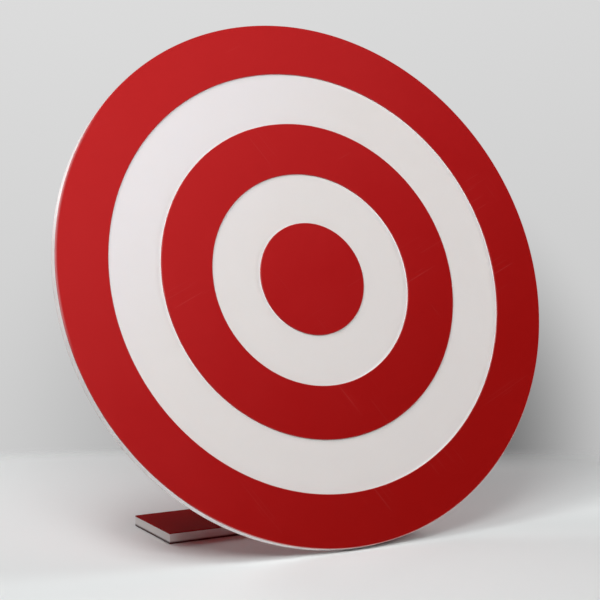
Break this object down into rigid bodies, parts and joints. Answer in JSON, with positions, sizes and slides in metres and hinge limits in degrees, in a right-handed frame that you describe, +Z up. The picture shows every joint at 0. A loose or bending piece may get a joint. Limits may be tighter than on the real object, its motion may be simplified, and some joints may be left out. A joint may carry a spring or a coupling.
{
  "type": "driving range target",
  "caption": "Round bullseye board of red, white and red plastic sheet that leans back on a folding rear leg with a cross foot.",
  "frame": {"origin": "On the floor, in the middle of the object's bounding box, with the board standing and the leg out.", "axes": "+X runs across the board, to the right of someone who looks at its face. +Y runs back from the face to the foot. +Z is up."},
  "size_m": [0.9144, 0.3338, 0.8652],
  "materials": {
    "red_skin": "solid red polyethylene skin with a fine grain and a soft sheen",
    "white_core": "white polyethylene core, routed and sawn",
    "stainless": "bare stainless steel",
    "nylon": "natural nylon"
  },
  "bodies": {
    "board": {"board_core": "white_core", "board_rear_skin": "red_skin", "bull_skin": "red_skin", "middle_ring_skin": "red_skin", "outer_ring_skin": "red_skin", "left_pivot_bracket": "stainless", "right_pivot_bracket": "stainless", "left_bracket_screw_1": "stainless", "left_bracket_screw_2": "stainless", "left_bracket_screw_3": "stainless", "right_bracket_screw_1": "stainless", "right_bracket_screw_2": "stainless", "right_bracket_screw_3": "stainless"},
    "leg": {"leg_core": "white_core", "leg_front_skin": "red_skin", "leg_rear_skin": "red_skin", "left_pivot_screw": "stainless", "left_pivot_washer": "nylon", "left_hinge_leg_leaf": "stainless", "left_hinge_pin": "stainless", "right_pivot_screw": "stainless", "right_pivot_washer": "nylon", "right_hinge_leg_leaf": "stainless", "right_hinge_pin": "stainless", "left_leg_leaf_screw_1": "stainless", "left_leg_leaf_screw_2": "stainless", "left_leg_leaf_screw_3": "stainless", "right_leg_leaf_screw_1": "stainless", "right_leg_leaf_screw_2": "stainless", "right_leg_leaf_screw_3": "stainless"},
    "foot": {"foot_core": "white_core", "foot_top_skin": "red_skin", "foot_bottom_skin": "red_skin", "left_hinge_foot_leaf": "stainless", "right_hinge_foot_leaf": "stainless", "left_foot_leaf_screw_1": "stainless", "left_foot_leaf_screw_2": "stainless", "left_foot_leaf_screw_3": "stainless", "right_foot_leaf_screw_1": "stainless", "right_foot_leaf_screw_2": "stainless", "right_foot_leaf_screw_3": "stainless"}
  },
  "joints": [
    {"name": "leg_pivot", "type": "hinge", "parent": "board", "child": "leg", "pos_m": [0, 0.03039, 0.43789], "axis": [-1, 0, 0], "range_deg": [0, 20]},
    {"name": "foot_hinge", "type": "hinge", "parent": "leg", "child": "foot", "pos_m": [0, 0.04389, 0.023], "axis": [1, 0, 0], "range_deg": [0, 90]}
  ]
}
